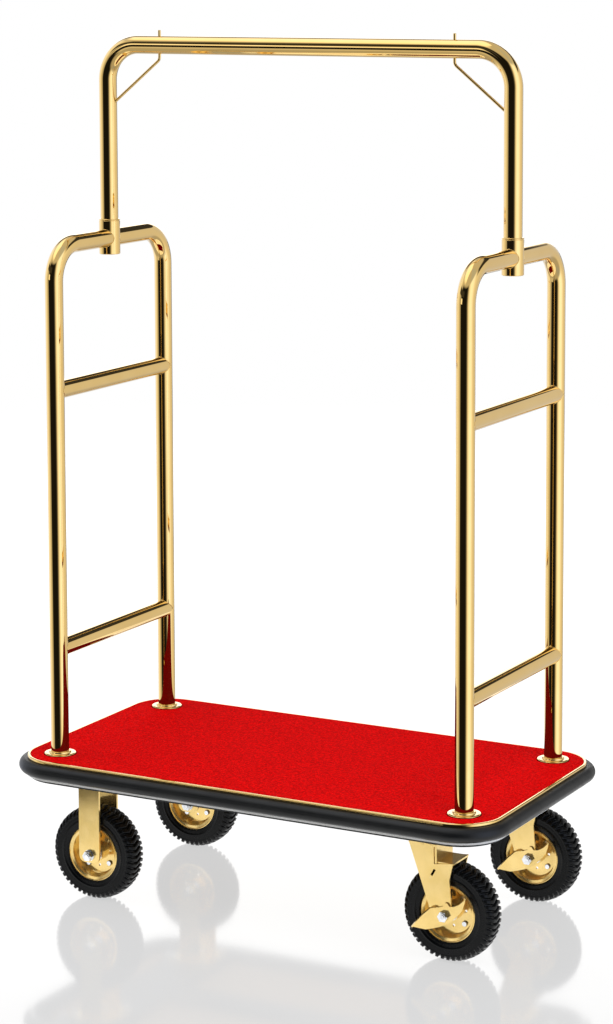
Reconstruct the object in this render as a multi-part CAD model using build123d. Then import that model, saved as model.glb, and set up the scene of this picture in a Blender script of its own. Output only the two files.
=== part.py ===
from build123d import *
import math
import os

# ---------------------------------------------------------------------------
# Hotel luggage cart.  Millimetres, Z up, X along the deck, Y across it.
# The floor is z = 0 and the deck centre is over the origin.
# ---------------------------------------------------------------------------

# wheel size and the levels that stand on it
WHEEL_R = 100.0
WHEEL_SCALE = WHEEL_R / 100.0         # outlines below are drawn for a 100 mm radius
CHANNEL_BOTTOM = 2 * WHEEL_R + 63.0   # face the casters bolt to
BOARD_TOP = CHANNEL_BOTTOM + 37.0
CARPET_TOP = BOARD_TOP + 6.0

# deck
DECK_LENGTH = 1100.0          # over the trim
DECK_WIDTH = 588.0
DECK_CORNER = 90.0
BOARD_THICK = 18.0
FRAME_SHEET = 2.5             # side wall of the deck frame
FRAME_WALL_BOTTOM = CHANNEL_BOTTOM - 5.5
WALL_TOP_DROP = 0.6           # wall stops short of the board's face
CHANNEL_SHEET = 3.0
CROSS_CHANNEL_WIDTH = 120.0
SPINE_CHANNEL_WIDTH = 60.0
SHELF_REACH = 30.0
WALL_INSET = 6.0              # wall outside face, in from the trim outline
SOFT_GAP = 0.3                # air round rubber and carpet
CARPET_EDGE_R = 1.5

# trims and bumper
UPPER_TRIM_BOTTOM = BOARD_TOP - 1.5
UPPER_TRIM_TOP = BOARD_TOP + 5.0
UPPER_TRIM_EDGE_R = 2.5
LOWER_TRIM_BOTTOM = CHANNEL_BOTTOM + 0.6
LOWER_TRIM_TOP = CHANNEL_BOTTOM + 5.3
LOWER_TRIM_OUT = 3.0
LOWER_TRIM_EDGE_R = 1.2
BUMPER_OUT = 18.0

# tubes
TUBE_R = 19.0
TUBE_WALL = 1.5
BEND_R = 76.0
POST_X = 474.0
POST_Y = 220.0
FRAME_BAR_Z = 1388.0
UPPER_RUNG_Z = 1084.5
LOWER_RUNG_Z = 533.0
RAIL_Z = 1802.0
COPE_GAP = 0.05

# collars and corner braces
COLLAR_R = TUBE_R + 3.5
COLLAR_BORE_R = TUBE_R + 0.2
COLLAR_BOTTOM = FRAME_BAR_Z - 35.0
COLLAR_TOP = FRAME_BAR_Z + 41.0
COLLAR_FLOOR = 3.0
COLLAR_EDGE_R = 1.2
BRACE_R = 3.0
BRACE_HOLE_PLAY = 0.1
BRACE_X = 344.5
BRACE_FOOT_DROP = 121.0       # where the rod meets the leg, below the rail
BRACE_KNEE_DROP = 31.0
BRACE_STUB_RISE = 31.5
BRACE_KNEE_R = 12.0
BRACE_TIP_R = 1.5

# post feet
FLANGE_R = 33.5
FLANGE_HEIGHT = 12.0
FLANGE_BORE_PLAY = 0.15
CARPET_HOLE_R = 34.5
PLUG_HEIGHT = 30.0
POST_BOLT_REACH = 24.0
POST_WASHER_R = 15.0

# fasteners
THROUGH = 60.0                # half length of a cut that passes right through
PIN_PLAY = 0.05               # round a pin that fits closely
TURN_PLAY = 0.08              # round a part that turns
M10_R = 5.0
M10_HOLE_R = 5.3
M10_FLATS = 17.0
M10_HEAD = 6.4
M10_NUT = 8.0
M12_R = 6.0
M12_FLATS = 19.0
WASHER_THICK = 2.5
RIVET_R = 4.0
RIVET_HEAD_R = 7.0
RIVET_HEAD_HEIGHT = 4.5
RIVET_SPREAD = 20.0           # each side of the caster's centre line

# casters
CASTER_X = 389.0
CASTER_Y = 205.4
CASTER_TRAIL = 54.0
FORK_INNER = 33.0             # half the space between the fork legs
RIGID_LEG_THICK = 5.0
RIGID_LEG_WIDTH = 50.0
RIGID_LEG_BELOW_AXLE = 16.0
RIGID_LEG_CORNER = 15.0
SWIVEL_LEG_THICK = 4.0
PLATE_THICK = 5.0
PLATE_X = 100.0
PLATE_Y = 110.0
PLATE_CORNER = 10.0
PLATE_HOLE_X = 38.0
PLATE_HOLE_Y = 43.0
CROWN_TOP = CHANNEL_BOTTOM - 22.0
CROWN_THICK = 5.0
BALL_R = 4.5
BALL_RING_R = 29.0
BALL_Z = CHANNEL_BOTTOM - 13.8
BALL_COUNT = 16
RACE_OUTER_R = 40.0
RACE_INNER_R = 21.0
RACE_SKIRT = 2.2
CROWN_RACE_R = 36.0
PIN_HEAD_R = 11.0

# wheel
HUB_R = 17.5
BEARING_BORE_R = 8.0
BEARING_INNER = 3.0           # bearing's inner face, from the wheel's centre
BEARING_OUTER = 14.0
RIM_BOLT_RING_R = 36.0
RIM_BOLT_COUNT = 4
RIM_BOLT_TURN = 51.0          # degrees from the X axis
RIM_BOLT_R = 4.0
RIM_SHEET = 2.0
VENT_RING_R = 30.0
VENT_R = 3.0
TREAD_LUGS = 48
TREAD_DEPTH = 5.4

os.makedirs("parts", exist_ok=True)


def save(node, shape):
    export_step(shape, "parts/" + node + ".step")


def group(solids):
    return Compound(children=list(solids))


def slab(inset, low, high):
    """Rounded rectangle following the trim outline, set in by inset."""
    outline = RectangleRounded(
        DECK_LENGTH - 2 * inset, DECK_WIDTH - 2 * inset, DECK_CORNER - inset
    )
    return Pos(0, 0, low) * extrude(outline, high - low)


def band(outer, inner, low, high):
    """Closed ring between two insets of the trim outline."""
    return slab(outer, low, high) - slab(inner, low - 1, high + 1)


def box(x0, x1, y0, y1, z0, z1):
    size = Box(x1 - x0, y1 - y0, z1 - z0)
    return Pos((x0 + x1) / 2, (y0 + y1) / 2, (z0 + z1) / 2) * size


def rod_z(r, x, y, low, high):
    return Pos(x, y, (low + high) / 2) * Cylinder(r, high - low)


def rod_y(r, x, z, low, high):
    """Round bar along Y from low to high."""
    return Pos(x, (low + high) / 2, z) * Rot(90, 0, 0) * Cylinder(r, high - low)


def hex_z(flats, x, y, low, high):
    return Pos(x, y, low) * extrude(RegularPolygon(flats / math.sqrt(3), 6), high - low)


def hex_y(flats, x, z, low, high):
    head = extrude(RegularPolygon(flats / math.sqrt(3), 6), high - low)
    return Pos(x, high, z) * Rot(90, 0, 0) * head


def turned(points):
    """Solid turned about Z from (radius, height) points."""
    face = make_face(Polyline(*[(r, 0, h) for r, h in points], close=True))
    return revolve(face, Axis.Z)


def turned_y(points):
    """Solid turned about Y from (radius, width) points, width towards -Y."""
    return Rot(90, 0, 0) * turned(points)


def tube_path(points, section_origin):
    path = FilletPolyline(*points, radius=BEND_R)
    ring = Circle(TUBE_R) - Circle(TUBE_R - TUBE_WALL)
    return sweep(Plane(origin=section_origin, z_dir=(0, 0, 1)) * ring, path=path)


# ---------------------------------------------------------------------------
# deck
# ---------------------------------------------------------------------------

def post_places():
    return [(sx * POST_X, sy * POST_Y) for sx in (-1, 1) for sy in (-1, 1)]


def caster_places():
    return [(sx * CASTER_X, sy * CASTER_Y) for sx in (-1, 1) for sy in (-1, 1)]


def plate_bolt_places():
    places = []
    for x, y in caster_places():
        for ox in (-PLATE_HOLE_X, PLATE_HOLE_X):
            for oy in (-PLATE_HOLE_Y, PLATE_HOLE_Y):
                places.append((x + ox, y + oy))
    return places


def deck_frame():
    wall_in = WALL_INSET + FRAME_SHEET
    top = BOARD_TOP - BOARD_THICK
    wall = band(WALL_INSET, wall_in, FRAME_WALL_BOTTOM, BOARD_TOP - WALL_TOP_DROP)
    shelf = band(WALL_INSET + 1, wall_in + SHELF_REACH, top - CHANNEL_SHEET, top)
    half_y = DECK_WIDTH / 2 - WALL_INSET - 1
    half_w = CROSS_CHANNEL_WIDTH / 2
    s = CHANNEL_SHEET
    outside = []
    hollows = []
    for x in (-CASTER_X, CASTER_X):
        outside.append(box(x - half_w, x + half_w, -half_y, half_y, CHANNEL_BOTTOM, top))
        low = CHANNEL_BOTTOM + s
        inner_y = half_y - FRAME_SHEET + 1
        hollows.append(box(x - half_w + s, x + half_w - s, -inner_y, inner_y, low, top + 1))
    reach = CASTER_X - half_w
    spine = SPINE_CHANNEL_WIDTH / 2
    beam = box(-reach, reach, -spine, spine, CHANNEL_BOTTOM, top)
    beam -= box(-reach, reach, -spine + s, spine - s, CHANNEL_BOTTOM + s, top + 1)
    body = wall + shelf + outside[0] + outside[1] + beam
    body -= hollows[0]
    body -= hollows[1]
    for x, y in plate_bolt_places():
        body -= rod_z(M10_HOLE_R, x, y, CHANNEL_BOTTOM - 5, CHANNEL_BOTTOM + 10)
    return body


def deck_board():
    body = slab(WALL_INSET + FRAME_SHEET + SOFT_GAP, BOARD_TOP - BOARD_THICK, BOARD_TOP)
    for x, y in post_places():
        body -= rod_z(M10_R + 0.5, x, y, BOARD_TOP - THROUGH, BOARD_TOP + 5)
    return body


def carpet():
    body = slab(WALL_INSET + SOFT_GAP, BOARD_TOP + SOFT_GAP, CARPET_TOP)
    body = fillet(body.faces().sort_by(Axis.Z)[-1].edges(), CARPET_EDGE_R)
    for x, y in post_places():
        body -= rod_z(CARPET_HOLE_R, x, y, BOARD_TOP - 5, CARPET_TOP + 5)
    return body


def upper_trim():
    body = band(0, WALL_INSET, UPPER_TRIM_BOTTOM, UPPER_TRIM_TOP)
    top_outer = body.faces().sort_by(Axis.Z)[-1].outer_wire().edges()
    return fillet(top_outer, UPPER_TRIM_EDGE_R)


def lower_trim():
    body = band(-LOWER_TRIM_OUT, WALL_INSET, LOWER_TRIM_BOTTOM, LOWER_TRIM_TOP)
    low_outer = body.faces().sort_by(Axis.Z)[0].outer_wire().edges()
    return fillet(low_outer, LOWER_TRIM_EDGE_R)


def bumper():
    """D-section rubber swept round the deck edge."""
    low = LOWER_TRIM_TOP + SOFT_GAP
    high = UPPER_TRIM_BOTTOM - SOFT_GAP
    r = (high - low) / 2
    mid = (high + low) / 2
    back = WALL_INSET - SOFT_GAP
    centre = BUMPER_OUT - r
    hx = DECK_LENGTH / 2
    hy = DECK_WIDTH / 2
    c = DECK_CORNER

    solids = []
    sides = [(0, hx, hy - c), (90, hy, hx - c), (180, hx, hy - c), (270, hy, hx - c)]
    for angle, reach, half in sides:
        straight = extrude(flat_section(back, centre, r), half, both=True)
        solids.append(Rot(0, 0, angle) * Pos(reach, 0, mid) * straight)
    for sx, sy, angle in ((1, 1, 0), (-1, 1, 90), (-1, -1, 180), (1, -1, 270)):
        profile = Pos(c, 0, 0) * flat_section(back, centre, r)
        corner = revolve(profile, Axis.Z, 90)
        solids.append(Pos(sx * (hx - c), sy * (hy - c), mid) * Rot(0, 0, angle) * corner)
    body = solids[0]
    for piece in solids[1:]:
        body = body + piece
    return body


def flat_section(back, centre, r):
    """D shape in the XZ plane: flat back at -back, round nose at centre + r."""
    edges = [
        Line((-back, 0, -r), (centre, 0, -r)),
        ThreePointArc((centre, 0, -r), (centre + r, 0, 0), (centre, 0, r)),
        Line((centre, 0, r), (-back, 0, r)),
        Line((-back, 0, r), (-back, 0, -r)),
    ]
    return make_face(edges)


# ---------------------------------------------------------------------------
# uprights, rungs, rail
# ---------------------------------------------------------------------------

def side_frame(x):
    """One bent tube: post, top bar, post."""
    points = [(x, -POST_Y, BOARD_TOP), (x, -POST_Y, FRAME_BAR_Z)]
    points += [(x, POST_Y, FRAME_BAR_Z), (x, POST_Y, BOARD_TOP)]
    return tube_path(points, (x, -POST_Y, BOARD_TOP))


def rung(x, z):
    """Straight cross tube, its ends coped to the posts."""
    body = rod_y(TUBE_R, x, z, -POST_Y, POST_Y)
    body -= rod_y(TUBE_R - TUBE_WALL, x, z, -POST_Y - 1, POST_Y + 1)
    for y in (-POST_Y, POST_Y):
        body -= rod_z(TUBE_R + COPE_GAP, x, y, z - THROUGH, z + THROUGH)
    return body


def collar(x):
    """Vertical socket that the top bar runs through and the rail plugs into."""
    body = rod_z(COLLAR_R, x, 0, COLLAR_BOTTOM, COLLAR_TOP)
    body = fillet(body.edges().filter_by(GeomType.CIRCLE), COLLAR_EDGE_R)
    body -= rod_z(COLLAR_BORE_R, x, 0, COLLAR_BOTTOM + COLLAR_FLOOR, COLLAR_TOP + 1)
    body -= rod_y(TUBE_R + COPE_GAP, x, FRAME_BAR_Z, -THROUGH, THROUGH)
    return body


def hanging_rail():
    """Bent tube whose legs drop into the collars and sit on the top bars."""
    points = [(-POST_X, 0, FRAME_BAR_Z), (-POST_X, 0, RAIL_Z)]
    points += [(POST_X, 0, RAIL_Z), (POST_X, 0, FRAME_BAR_Z)]
    body = tube_path(points, (-POST_X, 0, FRAME_BAR_Z))
    for x in (-POST_X, POST_X):
        body -= rod_y(TUBE_R + COPE_GAP, x, FRAME_BAR_Z, -THROUGH, THROUGH)
    for x in (-BRACE_X, BRACE_X):
        body -= rod_z(BRACE_R + BRACE_HOLE_PLAY, x, 0, RAIL_Z - THROUGH, RAIL_Z + THROUGH)
    return body


def corner_brace(side):
    """Thin rod from the rail's leg up through the rail."""
    slope = (BRACE_FOOT_DROP - BRACE_KNEE_DROP) / (POST_X - TUBE_R - BRACE_X)
    foot = (side * POST_X, 0, RAIL_Z - BRACE_FOOT_DROP - TUBE_R * slope)
    knee = (side * BRACE_X, 0, RAIL_Z - BRACE_KNEE_DROP)
    top = (side * BRACE_X, 0, RAIL_Z + BRACE_STUB_RISE)
    path = FilletPolyline(foot, knee, top, radius=BRACE_KNEE_R)
    heading = Vector(*knee) - Vector(*foot)
    body = sweep(Plane(origin=foot, z_dir=heading) * Circle(BRACE_R), path=path)
    tip = body.edges().filter_by(GeomType.CIRCLE).sort_by(Axis.Z)[-1]
    body = fillet(tip, BRACE_TIP_R)
    low = foot[2] - THROUGH
    body -= rod_z(TUBE_R + COPE_GAP, side * POST_X, 0, low, RAIL_Z - BRACE_KNEE_DROP)
    return body


def post_flange(x, y):
    """Round cover plate at the foot of a post."""
    bore = TUBE_R + FLANGE_BORE_PLAY
    profile = [
        (bore, 0), (FLANGE_R - 0.8, 0), (FLANGE_R, 0.8), (FLANGE_R, 6.8),
        (FLANGE_R - 0.8, 7.6), (FLANGE_R - 4, 8.0), (bore + 4.6, 8.4),
        (bore + 4.0, 11.0), (bore + 3.0, FLANGE_HEIGHT), (bore + 0.5, FLANGE_HEIGHT),
        (bore, FLANGE_HEIGHT - 0.5),
    ]
    return Pos(x, y, BOARD_TOP) * turned(profile)


def post_bolt_set(x, y):
    """Threaded plug in the post, bolt and washer below the board."""
    under = BOARD_TOP - BOARD_THICK
    face = under - WASHER_THICK
    plug = rod_z(TUBE_R - TUBE_WALL - PIN_PLAY, x, y, BOARD_TOP + 1, BOARD_TOP + 1 + PLUG_HEIGHT)
    plug -= rod_z(M10_R + PIN_PLAY, x, y, BOARD_TOP - 5, BOARD_TOP + POST_BOLT_REACH + 3)
    washer = rod_z(POST_WASHER_R, x, y, face, under)
    washer -= rod_z(M10_HOLE_R, x, y, face - 5, under + 5)
    bolt = rod_z(M10_R, x, y, face, BOARD_TOP + POST_BOLT_REACH)
    bolt += hex_z(M10_FLATS, x, y, face - M10_HEAD, face)
    return [plug, washer, bolt]


# ---------------------------------------------------------------------------
# casters
# ---------------------------------------------------------------------------

def plate_bolt(x, y):
    """Bolt up through the caster plate, nut inside the channel."""
    plate_low = CHANNEL_BOTTOM - PLATE_THICK
    web_top = CHANNEL_BOTTOM + CHANNEL_SHEET
    bolt = rod_z(M10_R, x, y, plate_low, web_top + M10_NUT + 3)
    bolt += hex_z(M10_FLATS, x, y, plate_low - M10_HEAD, plate_low)
    nut = hex_z(M10_FLATS, x, y, web_top, web_top + M10_NUT)
    nut -= rod_z(M10_R + PIN_PLAY, x, y, web_top - 1, web_top + M10_NUT + 1)
    return [bolt, nut]


def web_rivet(x, y):
    """Round-head rivet through a rigid fork's web and top plate."""
    low = CHANNEL_BOTTOM - PLATE_THICK - RIGID_LEG_THICK
    shank = rod_z(RIVET_R, x, y, low, CHANNEL_BOTTOM)
    head = rod_z(RIVET_HEAD_R, x, y, low - RIVET_HEAD_HEIGHT, low)
    head &= Pos(x, y, low) * Sphere(RIVET_HEAD_R)
    return [shank + head]


def top_plate(x, y):
    plate = box(x - PLATE_X / 2, x + PLATE_X / 2, y - PLATE_Y / 2, y + PLATE_Y / 2,
                CHANNEL_BOTTOM - PLATE_THICK, CHANNEL_BOTTOM)
    plate = fillet(plate.edges().filter_by(Axis.Z), PLATE_CORNER)
    for ox in (-PLATE_HOLE_X, PLATE_HOLE_X):
        for oy in (-PLATE_HOLE_Y, PLATE_HOLE_Y):
            plate -= rod_z(M10_HOLE_R, x + ox, y + oy, CHANNEL_BOTTOM - 20, CHANNEL_BOTTOM + 5)
    return plate


def rigid_fork(x, y):
    """Flat bar bent to a U and welded under its top plate."""
    half_w = RIGID_LEG_WIDTH / 2
    out = FORK_INNER + RIGID_LEG_THICK
    web_top = CHANNEL_BOTTOM - PLATE_THICK
    foot = WHEEL_R - RIGID_LEG_BELOW_AXLE
    bar = box(x - half_w, x + half_w, y - out, y + out, foot, web_top)
    bar = fillet(bar.edges().filter_by(Axis.X).sort_by(Axis.Z)[-2:], RIGID_LEG_THICK + 2)
    bar = fillet(bar.edges().filter_by(Axis.Y).sort_by(Axis.Z)[:2], RIGID_LEG_CORNER)
    cavity = box(x - half_w - 1, x + half_w + 1, y - FORK_INNER, y + FORK_INNER,
                 foot - 1, web_top - RIGID_LEG_THICK)
    cavity = fillet(cavity.edges().filter_by(Axis.X).sort_by(Axis.Z)[-2:], 3)
    bar -= cavity
    bar -= rod_y(M12_R + PIN_PLAY, x, WHEEL_R, y - THROUGH, y + THROUGH)
    body = bar + top_plate(x, y)
    for oy in (-RIVET_SPREAD, RIVET_SPREAD):
        body -= rod_z(RIVET_R + PIN_PLAY, x, y + oy, web_top - 20, CHANNEL_BOTTOM + 5)
    return body


def race_plate(x, y):
    """Top plate with the upper ball race and its skirt."""
    low = CHANNEL_BOTTOM - PLATE_THICK
    plate = top_plate(x, y)
    ring_low = BALL_Z + 0.8
    ring = rod_z(RACE_OUTER_R, x, y, ring_low, low) - rod_z(RACE_INNER_R, x, y, ring_low - 1, low)
    skirt = rod_z(RACE_OUTER_R, x, y, CROWN_TOP + 2, low)
    skirt -= rod_z(RACE_OUTER_R - RACE_SKIRT, x, y, CROWN_TOP, low)
    body = plate + ring + skirt
    body -= Pos(x, y, BALL_Z) * Torus(BALL_RING_R, BALL_R + TURN_PLAY)
    body -= pin_head(x, y, 2 * PIN_PLAY)
    return body


def pin_head(x, y, play):
    """Countersunk head of the kingpin, or its seat with some play round it."""
    cone = Cone(M12_R + play, PIN_HEAD_R + play, PLATE_THICK)
    return Pos(x, y, CHANNEL_BOTTOM - PLATE_THICK / 2) * cone


def kingpin(x, y):
    """Countersunk pin down through the crown, nut and washer below."""
    crown_low = CROWN_TOP - CROWN_THICK
    nut_top = crown_low - WASHER_THICK
    nut_low = nut_top - 10
    shank = rod_z(M12_R, x, y, nut_low - 3, CHANNEL_BOTTOM - 2)
    washer = rod_z(2 * M12_R, x, y, nut_top, crown_low - 0.1)
    washer -= rod_z(M12_R + PIN_PLAY, x, y, nut_top - 5, crown_low + 1)
    nut = hex_z(M12_FLATS, x, y, nut_low, nut_top)
    nut -= rod_z(M12_R + PIN_PLAY, x, y, nut_low - 5, crown_low)
    return [pin_head(x, y, 0) + shank, washer, nut]


def ball_ring(x, y):
    balls = []
    for i in range(BALL_COUNT):
        a = 2 * math.pi * i / BALL_COUNT
        place = Pos(x + BALL_RING_R * math.cos(a), y + BALL_RING_R * math.sin(a), BALL_Z)
        balls.append(place * Sphere(BALL_R))
    return balls


# outline of a swivel fork leg, from the axle: (along X, up)
LEG_TOP = CROWN_TOP - WHEEL_R
FOLD_X = -33.5
FOLD_FOOT = 12.0
FACET_REACH = 50.5
FACET_TURN = 8.0
LEG_FLAT = [(FOLD_X, LEG_TOP), (FOLD_X, FOLD_FOOT), (-26, -6), (-12, -17), (5, -17), (13, -8),
            (12.5, 30), (9.5, 73 * WHEEL_SCALE), (17.5, 107 * WHEEL_SCALE),
            (-24, 101.5 * WHEEL_SCALE), (-25, LEG_TOP)]
LEG_FACET = [(0, LEG_TOP), (-FACET_REACH, LEG_TOP), (0, FOLD_FOOT)]
SLOT_PLACE = Pos(-26, -FORK_INNER - 2, 84 * WHEEL_SCALE) * Rot(0, 30, 0)
BACK_WALL = (-22.0, -18.0)            # X of the pressed back wall, from the axle
SHELF_X = 17.5
SHELF_LOW = 103.0 * WHEEL_SCALE
SHELF_HIGH = SHELF_LOW + 3.5


def leg_plate(points, low, high):
    face = make_face(Polyline(*[(px, 0, pz) for px, pz in points], close=True))
    return Pos(0, high, 0) * extrude(face, high - low, dir=(0, -1, 0))


def swivel_leg():
    """Near leg, drawn about the axle centre, outer face towards -Y."""
    low = -FORK_INNER - SWIVEL_LEG_THICK
    high = -FORK_INNER
    flat = leg_plate(LEG_FLAT, low, high)
    facet = leg_plate(LEG_FACET, -SWIVEL_LEG_THICK, 0)
    facet = Pos(FOLD_X, high, 0) * Rot(0, 0, -FACET_TURN) * facet
    seam = rod_z(SWIVEL_LEG_THICK, FOLD_X, high, FOLD_FOOT, LEG_TOP)
    seam = seam & box(FOLD_X - 6, FOLD_X + 0.5, high - 6, high, FOLD_FOOT, LEG_TOP)
    leg = flat + facet + seam
    leg -= rod_y(M12_R + PIN_PLAY, 0, 0, -THROUGH, THROUGH)
    return leg - SLOT_PLACE * Box(5, 12, 15)


def swivel_fork(x, y):
    """Pressed fork: crown, stepped back wall, shelf and two tapering legs."""
    near = swivel_leg()
    far = mirror(near, Plane.XZ)
    out = FORK_INNER + SWIVEL_LEG_THICK
    front = FOLD_X - FACET_REACH + 0.6
    front_half = out - FACET_REACH * math.sin(math.radians(FACET_TURN))
    back_low, back_high = BACK_WALL
    outline = [(front, -front_half), (FOLD_X, -out), (back_high, -out),
               (back_high, out), (FOLD_X, out), (front, front_half)]
    face = make_face(Polyline(*[(px, py, 0) for px, py in outline], close=True))
    crown = Pos(0, 0, LEG_TOP - CROWN_THICK) * extrude(face, CROWN_THICK)
    wall = box(back_low, back_high, -out, out, SHELF_LOW, LEG_TOP)
    shelf = box(back_low, SHELF_X, -FORK_INNER - 1, FORK_INNER + 1, SHELF_LOW, SHELF_HIGH)
    body = near + far + crown + wall + shelf
    body = Pos(x + CASTER_TRAIL, y, WHEEL_R) * body
    race = rod_z(CROWN_RACE_R, x, y, CROWN_TOP - 1, BALL_Z - 0.8)
    race -= Pos(x, y, BALL_Z) * Torus(BALL_RING_R, BALL_R + TURN_PLAY)
    ledge = rod_z(CROWN_RACE_R, x, y, CROWN_TOP - CROWN_THICK, CROWN_TOP)
    body = body + ledge + race
    body -= rod_z(M12_R + TURN_PLAY, x, y, CROWN_TOP - THROUGH, CROWN_TOP + 20)
    body -= rod_z(RACE_INNER_R, x, y, CROWN_TOP, CROWN_TOP + 20)
    return body


# brake lever outline about the axle: flat part and the turned-out pedal
LEVER_FLAT = [(-22, 16), (-12, 15.5), (-3, 19), (2, 27), (7, 26.5), (12, 20.5), (22, 22),
              (33, 28), (46, 40), (44.5, 32), (40, 18), (33, 8), (24, -1), (12, -13),
              (3, -18), (-10, -24), (-22, -28)]
PEDAL = [(0, 16), (-9, 14), (-24, 1), (-38, -14), (-46, -24), (-34, -27), (-18, -30.5),
         (0, -28)]
PEDAL_LIP = [(0, 16), (-9, 14), (-24, 1), (-38, -14), (-46, -24), (-43.5, -24.5),
             (-36, -17), (-22, -2), (-8, 11), (0, 13)]
PEDAL_TURN = 28.0
PEDAL_LIP_DEPTH = 5.0
LEVER_THICK = 2.5
LEVER_GAP = 38.5              # wheel centre to the lever's inner face


def brake_lever(x, y):
    inner = -LEVER_GAP
    outer = -LEVER_GAP - LEVER_THICK
    flat = leg_plate(LEVER_FLAT, outer, inner)
    pedal = leg_plate(PEDAL, -LEVER_THICK, 0)
    lip = leg_plate(PEDAL_LIP, -LEVER_THICK - PEDAL_LIP_DEPTH, 0)
    fold = LEVER_FLAT[0][0]
    wing = Pos(fold, inner, 0) * Rot(0, 0, PEDAL_TURN) * (pedal + lip)
    wing -= box(-90, 90, inner, inner + 40, -60, 60)
    body = flat + wing
    body -= rod_y(M12_R + TURN_PLAY, 0, 0, -THROUGH, THROUGH)
    return Pos(x, y, WHEEL_R) * body


def axle_set(x, y, leg_thick, with_lever):
    """Bolt, nut, inner sleeve and two spacers, all along Y."""
    leg_out = FORK_INNER + leg_thick
    nut_face = leg_out + 1.5
    washer_r = 2 * M12_R
    washer_face = nut_face
    if with_lever:
        nut_face = LEVER_GAP + LEVER_THICK + 0.1
        washer_r = 11.0
        washer_face = LEVER_GAP - 0.1
    screw = M12_R + PIN_PLAY
    washer = rod_y(washer_r, 0, 0, -washer_face, -leg_out) - rod_y(screw, 0, 0, -THROUGH, THROUGH)
    nut = hex_y(M12_FLATS, 0, 0, -nut_face - 9, -nut_face)
    nut += rod_y(8.2, 0, 0, -nut_face - 11.5, -nut_face)
    nut -= rod_y(screw, 0, 0, -nut_face - 20, -nut_face + 1)
    bolt = rod_y(M12_R, 0, 0, -nut_face - 13, leg_out)
    bolt += hex_y(M12_FLATS, 0, 0, leg_out, leg_out + 7.5)
    bolt += rod_y(7.6, 0, 0, leg_out + 7, leg_out + 8)
    sleeve = rod_y(BEARING_BORE_R - PIN_PLAY, 0, 0, -FORK_INNER + 0.1, FORK_INNER - 0.1)
    sleeve -= rod_y(screw, 0, 0, -THROUGH, THROUGH)
    pieces = [washer, bolt, nut, sleeve]
    for side in (-1, 1):
        low, high = sorted((side * (BEARING_OUTER + 0.15), side * (FORK_INNER - 0.1)))
        spacer = rod_y(11, 0, 0, low, high) - rod_y(BEARING_BORE_R, 0, 0, -THROUGH, THROUGH)
        pieces.append(spacer)
    return [Pos(x, y, WHEEL_R) * piece for piece in pieces]


# ---------------------------------------------------------------------------
# wheel, drawn about its centre with its spin axis along Y
# ---------------------------------------------------------------------------

RIM_LIP_R = 60.0


def tyre_section(points):
    """Section drawn for a 100 mm wheel, stretched outside the rim to the wheel's radius."""
    grow = (WHEEL_R - RIM_LIP_R) / (100.0 - RIM_LIP_R)
    return [(RIM_LIP_R + (r - RIM_LIP_R) * grow if r > RIM_LIP_R else r, w) for r, w in points]


TYRE_OUTER = [(100, 0), (99.6, 12), (98, 20), (95, 25), (91.5, 27.2), (86, 28), (80, 28),
              (72, 27.4), (65, 26.2), (61, 25.0), (59.7, 24.4), (59.6, 21.7), (58.4, 20.9),
              (53.6, 19.4), (52.35, 16), (51.5, 9)]
TYRE_INNER = [(56.5, 9.3), (60.5, 17), (68, 22.6), (76, 23.6), (83, 23), (87.5, 20),
              (89.6, 14), (90, 0)]
TUBE_SKIN = [(89.7, 0), (89.3, 13.9), (87.2, 19.8), (82.8, 22.7), (76, 23.3), (68.2, 22.3),
             (60.8, 16.8), (56.9, 9.0), (51.9, 8.7), (50.5, 0)]
TUBE_HOLLOW = [(88.2, 0), (87.8, 13.5), (86, 18.9), (82.3, 21.2), (76, 21.8), (68.9, 20.9),
               (62, 16), (58, 7.4), (53.4, 7.2), (52, 0)]
RIM_HALF = [(HUB_R + 2, RIM_SHEET), (45.8, RIM_SHEET), (47.8, 4), (50, 16.5), (51.2, 21.4),
            (56.4, 22.9), (57.7, 24.6), (59.2, 23.7), (58.5, 21.5), (53, 20), (52, 16), (50, 0),
            (HUB_R + PIN_PLAY, 0), (HUB_R + PIN_PLAY, BEARING_OUTER), (HUB_R + 2, BEARING_OUTER)]


def mirrored_ring(half):
    """Ring turned from a (radius, width) loop, given its positive half."""
    other = [(r, -w) for r, w in reversed(half) if w != 0]
    return turned_y(half + other)


def tread_groove():
    """One wavy cut across the tread."""
    waist = [(-32, 2.5), (-22, -0.5), (-9, -3), (9, 3), (22, 0.5), (32, -2.5)]
    half = 2.1
    edge = [(t - half, w) for w, t in waist] + [(t + half, w) for w, t in reversed(waist)]
    face = make_face(Polyline(*[(t, w, 0) for t, w in edge], close=True))
    return Pos(0, 0, WHEEL_R - TREAD_DEPTH) * extrude(face, TREAD_DEPTH + 4)


def tyre():
    """Carcass open towards the rim, with wavy cuts between the lugs."""
    body = mirrored_ring(tyre_section(TYRE_OUTER + TYRE_INNER))
    groove = tread_groove()
    return body - [Rot(0, 360.0 * (i + 0.5) / TREAD_LUGS, 0) * groove for i in range(TREAD_LUGS)]


STEM_TURN = 180.0
STEM_PLACE = Rot(0, STEM_TURN, 0) * Pos(0, -5, -52.5) * Rot(14, 0, 0)


def inner_tube():
    """Air tube with its valve stem."""
    skin = mirrored_ring(tyre_section(TUBE_SKIN))
    hollow = mirrored_ring(tyre_section(TUBE_HOLLOW))
    stem = rod_z(2.5, 0, 0, 0.6, 20) + rod_z(3.3, 0, 0, 17, 25)
    return (skin - hollow) + STEM_PLACE * stem


def rim_places(radius, turn):
    """Evenly spaced (x, z) places on a ring round the wheel's centre."""
    step = 2 * math.pi / RIM_BOLT_COUNT
    angles = [math.radians(turn) + i * step for i in range(RIM_BOLT_COUNT)]
    return [(radius * math.cos(a), radius * math.sin(a)) for a in angles]


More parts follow.
